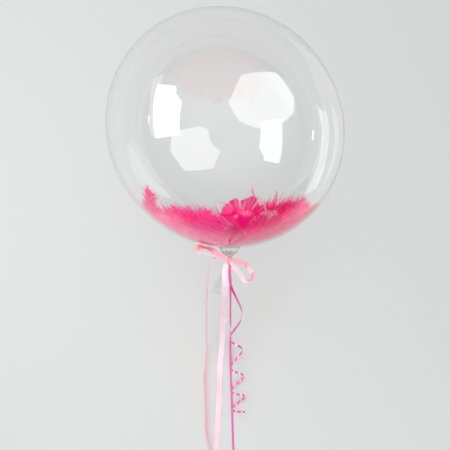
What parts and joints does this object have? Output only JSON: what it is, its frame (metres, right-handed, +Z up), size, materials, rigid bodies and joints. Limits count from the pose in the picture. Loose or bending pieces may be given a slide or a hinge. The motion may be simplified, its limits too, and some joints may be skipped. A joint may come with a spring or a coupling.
{
  "type": "clear bubble balloon with feathers and ribbons",
  "caption": "Clear film ball lying on its side, with a tied neck, a satin bow with long tails, and a curling ribbon whose short end is curled.",
  "frame": {"origin": "centre of the flat spot that the balloon lies on, under the middle of the ball", "axes": "+Z up, -Y along the ball's axis towards the tied neck, +X to the right seen from the neck's side with +Z up"},
  "size_m": [0.5566, 1.1539, 0.557],
  "materials": {
    "clear_film": "clear stretched plastic film, smooth and glossy",
    "satin": "pale pink polyester satin ribbon, soft sheen",
    "curling_ribbon": "magenta curling ribbon, finely ribbed and glossy",
    "feather": "hot pink marabou feathers, fluffy"
  },
  "bodies": {
    "root": {"film_balloon": "clear_film", "satin_bow": "satin", "satin_tail_centre": "satin", "satin_tail_left": "satin", "string_knot": "curling_ribbon", "string": "curling_ribbon", "string_coil": "curling_ribbon", "curl_lead": "curling_ribbon", "curl": "curling_ribbon"}
  },
  "joints": []
}
